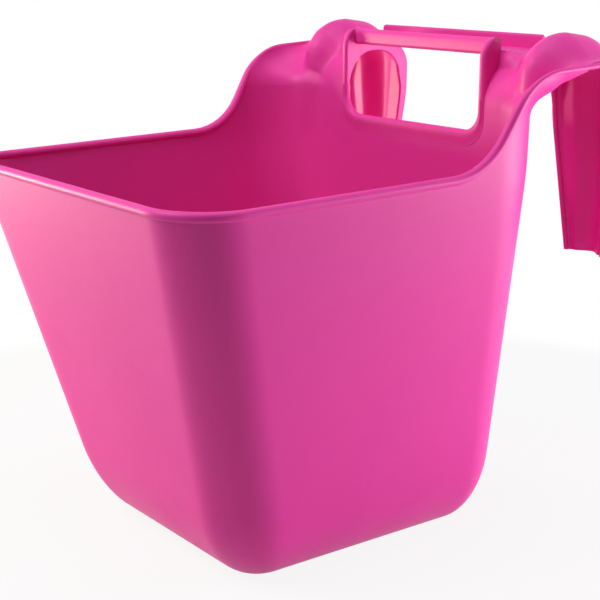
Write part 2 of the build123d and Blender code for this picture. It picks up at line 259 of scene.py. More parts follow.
def outline(z, inset, corner, share, angle):
    """Point on the level outline: a corner's centre plus its radius along a turning direction.

    On a straight side the centre slides from one corner to the next while the direction stands
    still; round a corner the direction turns while the centre stands still.
    """
    right, front, back = side_x(z) - inset, front_y(z) + inset, back_y - inset
    left = -right
    front_r = np.maximum(corner_radius(front_corner, z) - inset, 1.0)
    back_r = np.maximum(corner_radius(back_corner, z) - inset, 1.0)
    centres = np.stack(
        [
            np.stack([right - back_r, back - back_r], -1),
            np.stack([left + back_r, back - back_r], -1),
            np.stack([left + front_r, front + front_r], -1),
            np.stack([right - front_r, front + front_r], -1),
        ]
    )
    radii = np.stack([back_r, back_r, front_r, front_r])
    here = (np.arange(z.shape[0])[:, None], np.arange(z.shape[1])[None, :])
    following = (corner + 1) % 4
    slid = share[..., None]
    centre = centres[(corner, *here)] * (1 - slid) + centres[(following, *here)] * slid
    radius = radii[(corner, *here)] * (1 - share) + radii[(following, *here)] * share
    direction = np.stack([np.cos(angle), np.sin(angle)], -1)
    return np.concatenate([centre + radius[..., None] * direction, z[..., None]], -1)


levels = np.array([0, rim_height, crown_under])
print("half width at the base, rim and crown", side_x(levels).round(1))

# %% [markdown]
# In side view the rim rises only a little along the sides, then climbs both shoulders to the
# crown of the hooks. The line is needed here, because the wall ends in it.

# %% The rim's side view
bead_front_z = 262.8
bead_front_y = front_y(bead_front_z) + wall / 2
bead_end_z = 333.6
bead_bends = [50.0, 45.0, 30.0]
bead_side = rounded_path(
    [
        (bead_front_y, bead_front_z),
        (back_y - 69.0, 267.7),
        (back_y - 31.5, 330.0),
        (arch_y, bead_end_z),
        (crown_end, bead_end_z),
    ],
    bead_bends,
)


def bead_z(y):
    """Height of the rim bead's middle at a place along the bucket."""
    return np.interp(y, bead_side[:, 0], bead_side[:, 1])


print("rim rises from", bead_side[0].round(1), "to", bead_side[-1].round(1))

# %% [markdown]
# The columns of the tub's grid go once round the outline: a run of steps round each corner and a
# run along each side. Along the back they crowd together where the hand hole's corners are.

# %% Columns round the outline
def around(corner_steps, sides):
    """Columns of the outline: which corner, share of the way to the next, and direction."""
    corner, share, angle = [], [], []
    for number, along_side in enumerate(sides):
        start = number * math.pi / 2
        turn = np.linspace(0, math.pi / 2, corner_steps, endpoint=False)
        corner += [np.full(corner_steps, number), np.full(len(along_side), number)]
        share += [np.zeros(corner_steps), along_side]
        angle += [start + turn, np.full(len(along_side), start + math.pi / 2)]
    return np.concatenate(corner), np.concatenate(share), np.concatenate(angle)


flat_half = side_x(np.array(spring)) - corner_radius(back_corner, spring)
edge = 0.5 * (hole_half + roll / 2) / flat_half
curve = 0.5 * (hole_half - sill_corner) / flat_half
back_half = np.concatenate(
    [
        np.linspace(0, 0.5 - edge, 8),
        np.linspace(0.5 - edge + 1e-4, 0.5 - curve, 16),
        np.linspace(0.5 - curve, 0.5, 12)[1:],
    ]
)
back_shares = np.concatenate([back_half, 1 - back_half[-2:0:-1]])
side_shares = np.linspace(0, 1, 44, endpoint=False)
front_shares = np.linspace(0, 1, 36, endpoint=False)
corners, shares, angles = around(24, [back_shares, side_shares, front_shares, side_shares])
columns = len(corners)
print("columns round the tub", columns)

# %% [markdown]
# The skin is the outline as a function of height, carried from the middle of the floor, round
# the large foot, up to the rim, over the rim's edge and back down inside to the floor again. One
# grid makes both faces of the wall, so the wall has its true thickness everywhere. The feet of
# the two hook ribs fade out on the inside of the back wall.

# %% The tub's skin
foot_inset = 30.0
foot_rise = 54.0
rib_foot_height = 1.8
rib_foot_half = 10.0


def at_columns(z, inset):
    """Outline points of every column at the heights z, drawn in by inset."""
    broad = np.ones((len(z), 1), int)
    return outline(z, inset, corners * broad, shares * broad, angles * broad)


def wall_top(inset):
    """Height where each column of the wall ends: in the rim bead, or where the hooks spring."""
    top = np.full((1, columns), rim_height)
    for _ in range(12):
        top = np.minimum(bead_z(at_columns(top, inset)[..., 1]), spring)
    across = np.abs(at_columns(top, inset)[0, :, 0])
    bend = np.clip(across - (hole_half - sill_corner), 0, sill_corner + roll / 2)
    under_roll = sill + sill_corner - np.sqrt((sill_corner + roll / 2) ** 2 - bend**2)
    behind = (corners == 0) & (across < hole_half + roll / 2)
    top[:, behind] = under_roll[behind]
    return top


def skin_rows(inset):
    """Rows from the middle of the floor, round the foot and up to the top, drawn in by inset."""
    edge_ring = at_columns(np.full((1, columns), float(inset)), foot_inset)
    middle = np.array([0.0, (front_y(0.0) + back_y) / 2, inset])
    rows = [middle + (edge_ring - middle) * share for share in np.linspace(0.04, 1, 9)[:-1]]
    turn = np.radians(np.linspace(0, 90, 19))[:, None] * np.ones((1, columns))
    z = inset + (foot_rise - inset) * (1 - np.cos(turn))
    rows.append(at_columns(z, inset + (foot_inset - inset) * (1 - np.sin(turn))))
    z = foot_rise + (wall_top(inset) - foot_rise) * np.linspace(0, 1, 49)[1:, None]
    rows.append(at_columns(z, inset))
    return np.concatenate(rows)


def bell(x, half):
    """Rib across the sheet: a raised cosine round a hook's middle, made a little fuller."""
    t = np.clip(np.abs(x - hook_x) / half, 0, 1)
    return (0.5 + 0.5 * np.cos(math.pi * t)) ** 0.82


def with_rib_feet(grid):
    """The grid with both ribs' feet raised on the inside of the back wall, fading out downwards."""
    x, y, z = np.moveaxis(grid, -1, 0)
    height = rib_foot_height * bell(np.abs(x), rib_foot_half) * smooth(z, spring - 42.0, spring)
    behind = smooth(y, back_y - 62.0, back_y - 40.0)
    return np.stack([x, y - height * behind, z], -1)


outside, inside = skin_rows(0.0), with_rib_feet(skin_rows(wall))
tub = grid_piece("tub_skin", np.concatenate([outside, inside[::-1]]), "fan")
finish_piece(tub, "base", "front_wall", "left_side_wall", "right_side_wall", "back_wall")

# %% [markdown]
# ## The rim bead
# The rolled rim is a round bead on the edge of the wall. It is a circle carried along the edge,
# from the crown of one hook, down the shoulder, round the front and up to the other hook. Its
# two ends shrink to nothing, so they melt into the hooks.

# %% The bead's path
front_bend = front_corner[1] - wall / 2
side_run = bead_side[bead_side[:, 0] > bead_front_y + front_bend][::-1]
side_end = [bead_front_y + front_bend, bead_z(front_y(bead_front_z) + front_bend)]
side_run = np.concatenate([side_run, [side_end]])
bead_x = side_x(side_run[:, 1]) - wall / 2
quarter = np.radians(np.linspace(0, 90, 24))[1:, None]
bend_x = bead_x[-1] - front_bend * (1 - np.cos(quarter))
bend_y = side_run[-1, 0] - front_bend * np.sin(quarter)
front_run = np.concatenate([bend_x, bend_y, side_run[-1, 1] + 0 * bend_x], 1)
right_half = np.concatenate([np.column_stack([bead_x, side_run]), front_run])
bead_step = 2.2
bead_line = resample(np.concatenate([right_half, mirrored(right_half)[::-1]]), bead_step)
print("points along the bead", len(bead_line))

# %% [markdown]
# The bead is full along the tub and thinner over the shoulders, as on the real rim.

# %% A round bead along the rim
bead_radius = 3.25
shoulder_radius = 1.85
bead_taper = 12.0


def tube(path, radius, sides=20):
    """Circle of a radius carried along a path, with its plane kept square to the path."""
    ahead = np.gradient(path, axis=0)
    ahead /= np.linalg.norm(ahead, axis=1)[:, None]
    across = np.cross(ahead, [0.0, 0.0, 1.0])
    across /= np.linalg.norm(across, axis=1)[:, None]
    up = np.cross(across, ahead)
    turn = np.linspace(0, 2 * math.pi, sides, endpoint=False)[None, :, None]
    ring = across[:, None] * np.cos(turn) + up[:, None] * np.sin(turn)
    return path[:, None] + ring * np.reshape(radius, (-1, 1, 1))


run = np.linspace(0, 1, len(bead_line))
length = np.linalg.norm(np.diff(bead_line, axis=0), axis=1).sum()
from_end = np.clip(np.minimum(run, 1 - run) * length / bead_taper, 0, 1)
thick = bead_radius - (bead_radius - shoulder_radius) * smooth(bead_line[:, 2], 308.0, 328.0)
thick = thick * np.sqrt(np.clip(1 - (1 - from_end) ** 2, 0.02, 1))
bead = grid_piece("rim_bead_skin", tube(bead_line, thick), "fan")
finish_piece(bead, "rim_bead", angle=60)

# %% [markdown]
# ## The hooks
# Each hook is one sheet that leaves the back and side of the tub, sweeps back over a door and
# comes down behind it as a channel. A broad rib runs over it. The section across the hook is
# worked out as a closed loop in two local directions: x across, and n outwards from the
# underside of the sheet. The loop is then carried along the hook, changing as it goes.
#
# A station is a number that grows along the hook: 0 to 90 are the degrees round the shoulder,
# 90 to 106 the millimetres over the level crown, 106 to 136 the rear corner, and from 136 on the
# leg.

# %% Stations along the hook
leg_end = 195.5
leg_half_end = 18.5
taper_top = spring - 7.0
front_turn = np.linspace(0, 90, 46)
flat_run = np.linspace(0, crown_flat, 9)[1:]
rear_turn = np.linspace(90, 0, 25)[1:]
leg_run = np.linspace(rear_z, leg_end, 49)[1:]
rear_station = 106 + (90 - rear_turn) / 3
leg_station = 136 + (rear_z - leg_run) / 4
station = np.concatenate([front_turn, 90 + flat_run, rear_station, leg_station])
in_front = station <= 90


def hook_line():
    """Origin and outward direction, in side view, of every section: arc, line, arc, line."""
    turn = np.radians(front_turn)
    way = np.column_stack([-np.cos(turn), np.sin(turn)])
    parts = [(np.array([arch_y, spring]) + arch_radius * way, way)]
    level = np.column_stack([arch_y + flat_run, np.full(len(flat_run), crown_under)])
    parts.append((level, np.tile([0.0, 1.0], (len(flat_run), 1))))
    turn = np.radians(rear_turn)
    way = np.column_stack([np.cos(turn), np.sin(turn)])
    parts.append((np.array([crown_end, rear_z]) + (rear_radius - wall) * way, way))
    down = np.column_stack([np.full(len(leg_run), web_y - wall), leg_run])
    parts.append((down, np.tile([1.0, 0.0], (len(leg_run), 1))))
    return np.concatenate([part[0] for part in parts]), np.concatenate([part[1] for part in parts])


origin, outward = hook_line()
past_taper = softened(taper_top - origin[:, 1], 0.0, 4.0) / (taper_top - leg_end)
leg_share = past_taper * (station > 90)
half_width = hook_half - (hook_half - leg_half_end) * np.clip(leg_share, 0, 1)
print("sections along a hook", len(station))

# %% [markdown]
# The rib swells over the shoulder, is highest and broadest as it comes to the crown, and thins
# down the leg. The flanges of the channel are deepest at the rear corner.

# %% How the rib and the flanges change along the hook
gusset_x = 87.0
gusset_arch = 28.7
upright_y = back_y - 4.5
rib_height = np.interp(
    station,
    [0, 8, 18, 31, 43, 58, 74, 90, 106, 114, 122, 130, 140, 155, 166.3],
    [1.8, 2.6, 4.4, 8.6, 13.4, 16.4, 17.1, 17.1, 14.9, 12.4, 10.9, 10.6, 10.9, 9.1, 6.4],
)
rib_half = np.interp(
    station,
    [0, 18, 31, 43, 58, 74, 90, 106, 122, 136, 150, 166.3],
    [10, 13, 16.5, 20.5, 24, 26.5, 28, 28, 26, 23, 18, 13.5],
)
flange_tip = np.interp(station, [90, 106, 121, 136, 140], [-0.3, -5.4, -8.6, -7.4, -3.8])


def plate_inner(y):
    """Inner face of the side plate: it slants out from the upright to the leg's inner flange."""
    share = np.clip((y - upright_y) / (arch_y + gusset_arch - upright_y), 0, 1)
    return hole_half - 0.1 + (gusset_x - wall - hole_half + 0.1) * share


def rise_to_bead(longest=70.0, steps=1400):
    """How far outwards from its origin each front section meets the bead, found along a ray."""
    ray = np.linspace(0, longest, steps)[None, :]
    y = origin[:, :1] + outward[:, :1] * ray
    z = origin[:, 1:] + outward[:, 1:] * ray
    past = z > bead_z(y) + 0.4
    first = np.where(past.any(1), past.argmax(1), steps - 1)
    return np.where(in_front, ray[0, first], 1.0)


edge_rise = rise_to_bead()
print("flank rises from", edge_rise[0].round(1), "to", edge_rise[in_front][-1].round(1), "mm")

# %% [markdown]
# In front, the sheet turns up into the flank in a concave corner. It starts as the tub's own
# back corner and grows tighter along the shoulder. The bead cuts it short, but three quarters of
# its height stay below the bead, so that no gap opens beside it. Behind the crown the sheet
# turns down in a small convex corner instead, into the flange.

# %% Where the sheet's edges lie
least_bend = 0.4
crown_bend = 2.5
below_bead = 0.75
most_cut = 0.97
flange_wall = 3.2
turned = np.radians(front_turn.max() - np.clip(station, 0, 90))
tightened = (1 - (turned / (math.pi / 2)) ** 2) * smooth(station, -2.0, 27.0)
start_bend = corner_radius(back_corner, spring) - wall
free_bend = start_bend + (crown_bend - start_bend) * tightened
room = np.where(in_front, (edge_rise - wall) / below_bead, free_bend)
bend = np.clip(np.minimum(free_bend, room), least_bend, None)
reach = np.clip((wall + bend - edge_rise) / bend, 0, most_cut)
cut = in_front & (reach > 0)
arc_end = np.where(in_front, np.arccos(reach), math.pi / 2)
arc_n = wall + bend * (1 - np.cos(arc_end))
flank_n = np.where(reach > 0, arc_n, np.maximum(edge_rise, wall + bend + 0.05))
side_out = side_x(origin[:, 1] + outward[:, 1] * (wall + bend))
drawn_in = smooth(station, 90, 106)
rear_out = side_x(np.array(crown_under)) * (1 - drawn_in) + (hook_x + half_width) * drawn_in
out_x = np.where(in_front, side_out, rear_out)
rear_bend = least_bend + 3.1 * smooth(station, 90, 112)
corner_x = np.where(in_front, out_x - wall - bend, out_x - rear_bend)
seat = plate_inner(origin[:, 0]) + 1.2
inner_edge = seat + (hook_x - half_width + flange_wall - seat) * smooth(station, 92, 106)
print("corner radius from", bend[0].round(1), "to", bend[in_front][-1].round(1), "mm")

# %% [markdown]
# The outer part of the loop goes along the top of the sheet, round the corner, along the flank
# or flange, over its lip and back underneath.

# %% Outer part of the section
sheet_steps, corner_steps, flank_steps, lip_steps = 64, 14, 12, 7
lip_bulge = 1.2
under_bend = 1.5
lip_turn = np.linspace(0, math.pi, lip_steps)[None, :]


def even(start, end, count):
    """Even steps from start to end at every station."""
    start, end = (np.broadcast_to(value, station.shape)[:, None] for value in (start, end))
    t = np.linspace(0, 1, count)[None, :]
    return start * (1 - t) + end * t


def top_and_corner(turn):
    """Top of the sheet, and the corner by a turn: concave in front, convex at the rear."""
    hollow = np.where(in_front, -1.0, 1.0)[:, None]
    radius = np.where(in_front, bend, rear_bend)[:, None]
    corner_n = wall - hollow * radius + hollow * radius * np.cos(turn)
    top = (even(inner_edge, corner_x, sheet_steps), even(wall, wall, sheet_steps))
    return [top, (corner_x[:, None] + radius * np.sin(turn), corner_n)]


def flank_and_lip():
    """Outer face of the flank or flange, the round lip at its edge, and its inner face."""
    end_n = np.where(in_front, flank_n, flange_tip + 1.0)
    lean = upper_lean * outward[:, 1]
    rise = np.where(in_front & ~cut, lean * (flank_n - wall - bend), 0)
    start_n = np.where(in_front, arc_n, wall - rear_bend)
    near_x = np.where(in_front, corner_x + bend * np.sin(arc_end), out_x)
    far_x = np.where(in_front, corner_x + (bend + wall) * np.sin(arc_end), out_x - wall)
    far_n = np.where(in_front, wall + bend - (bend + wall) * np.cos(arc_end), 0)
    far_end_n = np.where(cut, far_n, end_n)
    down = np.where(in_front, 1.0, -1.0)[:, None]
    tilt_x = np.where(cut, np.cos(arc_end), 0)[:, None]
    tilt_n = np.where(cut, np.sin(arc_end), 1)[:, None]
    swing, bulge = np.cos(lip_turn), np.sin(lip_turn)
    lip_x = ((near_x + far_x) / 2 + rise)[:, None] + (near_x - far_x)[:, None] / 2 * swing
    lip_n = ((end_n + far_end_n) / 2)[:, None] + (end_n - far_end_n)[:, None] / 2 * swing
    lip = (lip_x + tilt_x * lip_bulge * bulge, lip_n + down * tilt_n * lip_bulge * bulge)
    under_n = np.where(in_front, far_n, -under_bend)
    outer_face = (even(near_x, near_x + rise, flank_steps), even(start_n, end_n, flank_steps))
    inner_face = (even(far_x + rise, far_x, flank_steps), even(far_end_n, under_n, flank_steps))
    return [outer_face, lip, inner_face]


def corner_underneath(turn):
    """Inner side of the corner: a wall's thickness further round in front, small at the rear."""
    front_x = corner_x[:, None] + (bend + wall)[:, None] * np.sin(turn)
    front_n = (wall + bend)[:, None] - (bend + wall)[:, None] * np.cos(turn)
    quarter = np.linspace(0, math.pi / 2, corner_steps)[None, :]
    rear_x = (out_x - wall - under_bend)[:, None] + under_bend * np.cos(quarter)
    rear_n = -under_bend + under_bend * np.sin(quarter)
    front = in_front[:, None]
    return [(np.where(front, front_x, rear_x), np.where(front, front_n, rear_n))]


turn = np.linspace(0, 1, corner_steps)[None, :] * arc_end[:, None]
outer_part = top_and_corner(turn) + flank_and_lip() + corner_underneath(turn[:, ::-1])
print("outer part in", len(outer_part), "runs")

# %% [markdown]
# The inner part goes back along the underside. Behind the crown an inner flange grows out of the
# sheet's edge, so that the leg is a channel.

# %% Inner part of the section
def inner_flange():
    """Underside of the sheet, then the flange's inner face, lip, outer face and rounded edge."""
    grown = smooth(station, 92, 108)
    start_x = np.where(in_front, corner_x, out_x - wall - under_bend)
    inner_face = inner_edge + 0.3 * grown
    outer_face = inner_edge - flange_wall * grown
    tip = flange_tip * grown + 1.0 * grown
    end_x = inner_face + under_bend * grown
    underside = (even(start_x, end_x, sheet_steps), even(0, 0, sheet_steps))
    inside_run = (even(inner_face, inner_face, 6), even(-under_bend * grown, tip, 6))
    middle = ((inner_face + outer_face) / 2)[:, None]
    lip_x = middle + (inner_face - outer_face)[:, None] / 2 * np.cos(lip_turn)
    lip_n = tip[:, None] - lip_bulge * grown[:, None] * np.sin(lip_turn)
    edge_bend = (0.9 + 2.1 * smooth(station, 137, 152)) * grown
    outside_run = (even(outer_face, outer_face, 6), even(tip, wall - edge_bend, 6))
    quarter = np.linspace(0, math.pi / 2, 6)[None, :-1]
    edge_x = (outer_face + edge_bend)[:, None] - edge_bend[:, None] * np.cos(quarter)
    edge_n = (wall - edge_bend)[:, None] + edge_bend[:, None] * np.sin(quarter)
    return [underside, inside_run, (lip_x, lip_n), outside_run, (edge_x, edge_n)]


runs = outer_part + inner_flange()
x = np.concatenate([part[0] for part in runs], 1)
n = np.concatenate([part[1] for part in runs], 1)
counts = [part[0].shape[1] for part in runs]
marks = np.cumsum([0] + counts)
print("points round a section", x.shape[1])

# %% [markdown]
# The rib lifts the top of the sheet and hollows its underside. A small pad lifts the sheet up to
# the deck of the handle, which the saddle meets.

# %% The two hooks
deck_low, deck_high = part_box("handle_deck")
deck_top = deck_high.z / MM
column = np.arange(x.shape[1])[None, :]
on_top = column < marks[2]
underneath = (column >= marks[5]) & (column < marks[7])
sheet_y = origin[:, :1] + outward[:, :1] * wall
sheet_z = origin[:, 1:] + outward[:, 1:] * wall
to_deck = np.clip((deck_top - 0.2 - sheet_z) / np.maximum(outward[:, 1:], 0.3), 0, 14)
pad = to_deck * (1 - smooth(x, 87.0, 106.0)) * smooth(sheet_y, back_y + 7.0, back_y + 18.0)
pad = pad * (station[:, None] < 100)
lift = rib_height[:, None] * bell(x, rib_half[:, None]) + pad
hollow = rib_height[:, None] * bell(x, np.maximum(rib_half[:, None] - 2.2, 3.0))
n = n + np.where(on_top, lift, 0) + np.where(underneath, hollow, 0)
hook = np.stack([x, origin[:, :1] + outward[:, :1] * n, origin[:, 1:] + outward[:, 1:] * n], -1)
folded = (int(marks[3]), counts[3])
right_hook = grid_piece("right_hook_skin", hook, folded)
finish_piece(right_hook, "right_hook_saddle", "right_hook_rib", "right_hook_leg")
left_hook = grid_piece("left_hook_skin", mirrored(hook), folded)
finish_piece(left_hook, "left_hook_saddle", "left_hook_rib", "left_hook_leg")

# %% [markdown]
# ## The side plates of the hooks
# A plate closes the inner side of each hook. Its lower edge is the arch that sits on the
# door, and the upright beside the hand hole bends back at its top like a thumb. The side view is
# one closed outline of lines and ovals.

# %% The plate's side view
def oval(centre, size, low, high, steps, fullness=1.0):
    """Arc of an ellipse in side view between two angles; fullness below 1 squares its shoulders."""
    turn = np.radians(np.linspace(low, high, steps))
    across = np.sign(np.cos(turn)) * np.abs(np.cos(turn)) ** fullness
    up = np.sign(np.sin(turn)) * np.abs(np.sin(turn)) ** fullness
    return np.column_stack([centre[0] + size[0] * across, centre[1] + size[1] * up])


def line(start, end, steps):
    """Even points from start to end, without the last."""
    t = np.linspace(0, 1, steps, endpoint=False)[:, None]
    return np.array(start) * (1 - t) + np.array(end) * t


thumb_y, thumb_z, thumb_height = back_y + 5.0, 334.5, 14.0
plate_foot = spring - 2.0
tail_z = spring - 3
under_deck = deck_top - 0.6
plate_back = web_y - 0.35
back_bend = rear_radius - 0.35
upright = [
    line((upright_y, plate_foot), (upright_y, thumb_z), 24),
    oval((thumb_y, thumb_z), (thumb_y - upright_y, thumb_height), 180, 90, 14)[:-1],
    oval((thumb_y, under_deck), (7.5, thumb_z + thumb_height - under_deck), 90, 0, 12),
]
rest_of_plate = [
    line((thumb_y + 8.5, under_deck), (crown_end - 2.0, under_deck), 10),
    oval((crown_end, rear_z), (back_bend, back_bend), 86, 0, 14),
    line((plate_back, rear_z - 1), (plate_back, tail_z), 8),
    line((plate_back, tail_z), (back_y + 60.5, tail_z), 4),
    oval((back_y + 30.0, spring), (30.5, gusset_arch + 1.0), 0, 180, 44, 0.86),
    line((back_y - 0.5, plate_foot), (upright_y, plate_foot), 3),
]
plate_side = np.concatenate(upright + rest_of_plate)
upright_points = sum(len(part) for part in upright)
print("points round a plate", len(plate_side))

# %% [markdown]
# The plate slants a little, from the upright to the leg's inner flange. It is the side view
# repeated in thin layers whose edges draw in by a quarter circle, so every edge is rounded. The
# upright is thicker and its edge rounder, because a hand closes over it.

# %% Layers of the plate
ahead = np.roll(plate_side, -1, axis=0) - np.roll(plate_side, 1, axis=0)
ahead /= np.linalg.norm(ahead, axis=1)[:, None]
inward = np.column_stack([ahead[:, 1], -ahead[:, 0]])
at_front = smooth(-plate_side[:, 0], -(back_y + 12.0), -(back_y - 1.0))
edge_round = 0.8 + 1.9 * at_front * (np.arange(len(plate_side)) < upright_points)
plate_thick = wall - 0.3 + 2.9 * at_front
layers = []
for outer_face, turns in ((False, np.linspace(0, 90, 7)), (True, np.linspace(90, 0, 7))):
    for turn in np.radians(turns):
        points = plate_side + inward * (edge_round * (1 - math.sin(turn)))[:, None]
        step_in = edge_round * (1 - math.cos(turn))
        through = plate_thick - step_in if outer_face else step_in
        layers.append(np.column_stack([plate_inner(points[:, 0]) + through, points]))
plate_grid = np.stack(layers)
right_plate = grid_piece("right_side_plate", plate_grid)
left_plate = grid_piece("left_side_plate", mirrored(plate_grid))
finish_piece(right_plate, "right_gusset", angle=40)
finish_piece(left_plate, "left_gusset", angle=40)

# %% [markdown]
# ## The hand hole
# A low roll runs round the sill of the hole and its two lower corners, so that the edge doesn't
# cut into the fingers. Its path is a U along the hole.

# %% The roll's path
def sill_path(steps=16):
    """U walk along the hole's edge, down, across and up: point and outward direction."""
    arms = np.linspace(spring + 5.0, sill + sill_corner, 10)[:-1]
    arm = np.column_stack([np.full(len(arms), -hole_half), arms])
    turn = np.radians(np.linspace(180, 270, steps))
    way = np.column_stack([np.cos(turn), np.sin(turn)])
    corner = np.array([sill_corner - hole_half, sill + sill_corner]) + sill_corner * way
    across = np.linspace(sill_corner - hole_half, 0, 14)[1:]
    flat = np.column_stack([across, np.full(len(across), sill)])
    place = np.concatenate([arm, corner, flat])
    arm_way, flat_way = np.tile([-1.0, 0.0], (len(arm), 1)), np.tile([0.0, -1.0], (len(flat), 1))
    way = np.concatenate([arm_way, way, flat_way])
    other_half = [-1, 1]
    return (
        np.concatenate([place, place[-2::-1] * other_half]),
        np.concatenate([way, way[-2::-1] * other_half]),
    )


hole_edge, hole_way = sill_path()
print("points along the sill", len(hole_edge))

# %% [markdown]
# The section swells quickly from the hole's edge, then fades into the wall. It is broad under the
# hole and narrow at the sides. A flat back closes it inside the wall.

# %% Roll round the sill
arm_width, sill_extra = 6.1, 5.4
roll_edge, roll_swell = 2.7, 2.6
under = smooth(-hole_way[:, 1], 0.0, 1.0)
width = arm_width + sill_extra * under
t = np.linspace(0, 1, 30)
edge_turn = np.clip(t / (roll_edge / width[:, None]), 0, 1)
rounded = np.sqrt(np.clip(1 - (1 - edge_turn) ** 2, 0, 1))
fading = 1 - smooth(t[None, :], 0.25 + 0.3 * (1 - under[:, None]), 1.0)
swell = rounded * (0.12 + 0.88 * fading)
face_y = back_y - 1.9 - 1.55 * smooth(t[None, :], 0.2, 1.0) - roll_swell * swell
back_t = np.linspace(1, 0, 9)
face_y = np.concatenate([face_y, np.full((len(width), len(back_t)), back_y - 0.1)], 1)
distance = np.concatenate([np.outer(width, t), np.outer(width, back_t)], 1)
roll_x = hole_edge[:, :1] + hole_way[:, :1] * distance
roll_z = hole_edge[:, 1:] + hole_way[:, 1:] * distance
sill_roll = grid_piece("hand_hole_roll", np.stack([roll_x, face_y, roll_z], -1))
finish_piece(sill_roll, "hand_hole_frame", angle=50)

# %% [markdown]
# ## The bars and the deck
# The grab bar is set back between the uprights, and flares a little where it meets them. A
# flat deck and a low upright bar behind it stiffen the handle. Each is a rounded section
# carried across the bucket.

# %% Rounded strips across the bucket
def rounded_box(near, far, low, high, radii, steps=6):
    """Side-view loop of a box; radii go front top, back top, back low, front low."""
    corners = [(near, high), (far, high), (far, low), (near, low)]
    inner = [(1, -1), (-1, -1), (-1, 1), (1, 1)]
    starts = [180, 90, 0, -90]
    loop = []
    for (y, z), (inner_y, inner_z), radius, start in zip(corners, inner, radii, starts):
        turn = np.radians(np.linspace(start, start - 90, steps))
        arc_y = y + inner_y * radius + radius * np.cos(turn)
        arc_z = z + inner_z * radius + radius * np.sin(turn)
        loop.append(np.column_stack([arc_y, arc_z]))
    return np.concatenate(loop)


def strip(name, loop, half, flare=0.0, end_round=0.0, steps=48):
    """Section carried from -half to half; it grows by flare at its ends, or draws in."""
    turn = np.radians(np.linspace(0, 90, 7))
    ends = half - max(end_round, 0.01) * (1 - np.sin(turn))
    x = np.concatenate([-ends[::-1], np.linspace(-ends[0], ends[0], steps)[1:-1], ends])
    gap = half - np.abs(x)
    grow = 1 + flare * np.clip(1 - gap / 7.0, 0, 1) ** 2
    if end_round:
        past_end = 1 - np.clip(gap / end_round, 0, 1)
        grow = grow - 0.25 * (1 - np.sqrt(np.clip(1 - past_end**2, 0, 1)))
    middle = loop.mean(0)
    section = middle + (loop - middle)[None] * grow[:, None, None]
    across = np.broadcast_to(x[:, None, None], (*section.shape[:2], 1))
    return grid_piece(name, np.concatenate([across, section], -1))


bar_low, bar_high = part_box("grab_bar")
bar_bottom, bar_top = bar_low.z / MM, bar_high.z / MM - 0.4
bar_loop = rounded_box(back_y + 5.5, back_y + 12.5, bar_bottom, bar_top, (3.4, 3.4, 2.2, 2.2))
grab = strip("grab_bar_skin", bar_loop, hole_half + 4.5, flare=0.24)
finish_piece(grab, "grab_bar", angle=50)
deck_bottom, deck_back = deck_low.z / MM, deck_high.y / MM
deck_loop = rounded_box(back_y + 12.2, deck_back, deck_bottom - 0.4, deck_top, (1.2, 1.2, 1.2, 1.2))
deck = strip("deck_skin", deck_loop, deck_high.x / MM, end_round=1.2)
finish_piece(deck, "handle_deck", angle=50)
rear_low, rear_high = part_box("rear_bar")
rear_front, rear_back, rear_top = rear_low.y / MM, rear_high.y / MM, rear_high.z / MM
rear_loop = rounded_box(rear_front, rear_back, deck_bottom, rear_top, (1.8, 1.8, 0.6, 0.6))
rear = strip("rear_bar_skin", rear_loop, rear_high.x / MM, end_round=1.8)
finish_piece(rear, "rear_bar", angle=50)

# %% [markdown]
# ## Satin pink polyethylene
# The whole object is one moulded plastic. Its colour is even, with a faint clouding where the
# melt flowed, and its surface has a very fine orange-peel grain and a few shallow rubs. A small
# class turns shader maths into ordinary arithmetic, so each step of the recipe reads as a line.

# %% Shader arithmetic
class Shade:
    """One output socket of a shader node. Arithmetic adds Math nodes; `node` adds any other."""

    def __init__(self, tree, socket=None):
        self.tree, self.socket = tree, socket

    def node(self, kind, settings, values, *results):
        """New node: settings first, then inputs as numbers or links; gives the named outputs."""
        made = self.tree.nodes.new(kind)
        for name, setting in settings.items():
            setattr(made, name, setting)
        for name, value in values.items():
            plug(self.tree, made.inputs[name], value)
        outputs = [Shade(self.tree, made.outputs[result]) for result in results]
        return outputs[0] if len(outputs) == 1 else outputs

    def joined(self, operation, first, second):
        """Math node on two values."""
        return self.node("ShaderNodeMath", {"operation": operation}, {0: first, 1: second}, "Value")

    def __add__(self, other):
        return self.joined("ADD", self, other)

    def __sub__(self, other):
        return self.joined("SUBTRACT", self, other)

    def __rsub__(self, other):
        return self.joined("SUBTRACT", other, self)

    def __mul__(self, other):
        return self.joined("MULTIPLY", self, other)

    __radd__ = __add__
    __rmul__ = __mul__


def plug(tree, place, value):
    """Link a Shade to an input, or set the input to a plain number or colour."""
    if isinstance(value, Shade):
        tree.links.new(value.socket, place)
    else:
        place.default_value = value


print("shader arithmetic ready")

# %% [markdown]
# The patterns are noise at different sizes, noise drawn out along the mould's draw direction,
# and noise of which only the peaks are kept.

# %% Patterns in the plastic
def noise(start, scale, detail, rough=0.5):
    """Cloudy noise from 0 to 1 on a place; scale counts the clouds in a metre."""
    values = {"Vector": start, "Scale": scale, "Detail": detail, "Roughness": rough}
    return start.node("ShaderNodeTexNoise", {}, values, "Fac")


def stretched(start, scale):
    """The same places scaled along each axis; a pattern is drawn out along the smallest scale."""
    return start.node("ShaderNodeMapping", {}, {"Vector": start, "Scale": scale}, "Vector")


def only_over(value, low, high):
    """0 below low and 1 above high, smoothly."""
    values = {"Value": value, "From Min": low, "From Max": high}
    return value.node("ShaderNodeMapRange", {"interpolation_type": "SMOOTHSTEP"}, values, "Result")


def blended(amount, first, second):
    """Colour between two colours by an amount from 0 to 1."""
    values = {"Factor": amount, "A": (*first, 1.0), "B": (*second, 1.0)}
    return amount.node("ShaderNodeMix", {"data_type": "RGBA"}, values, "Result")


print("patterns ready")

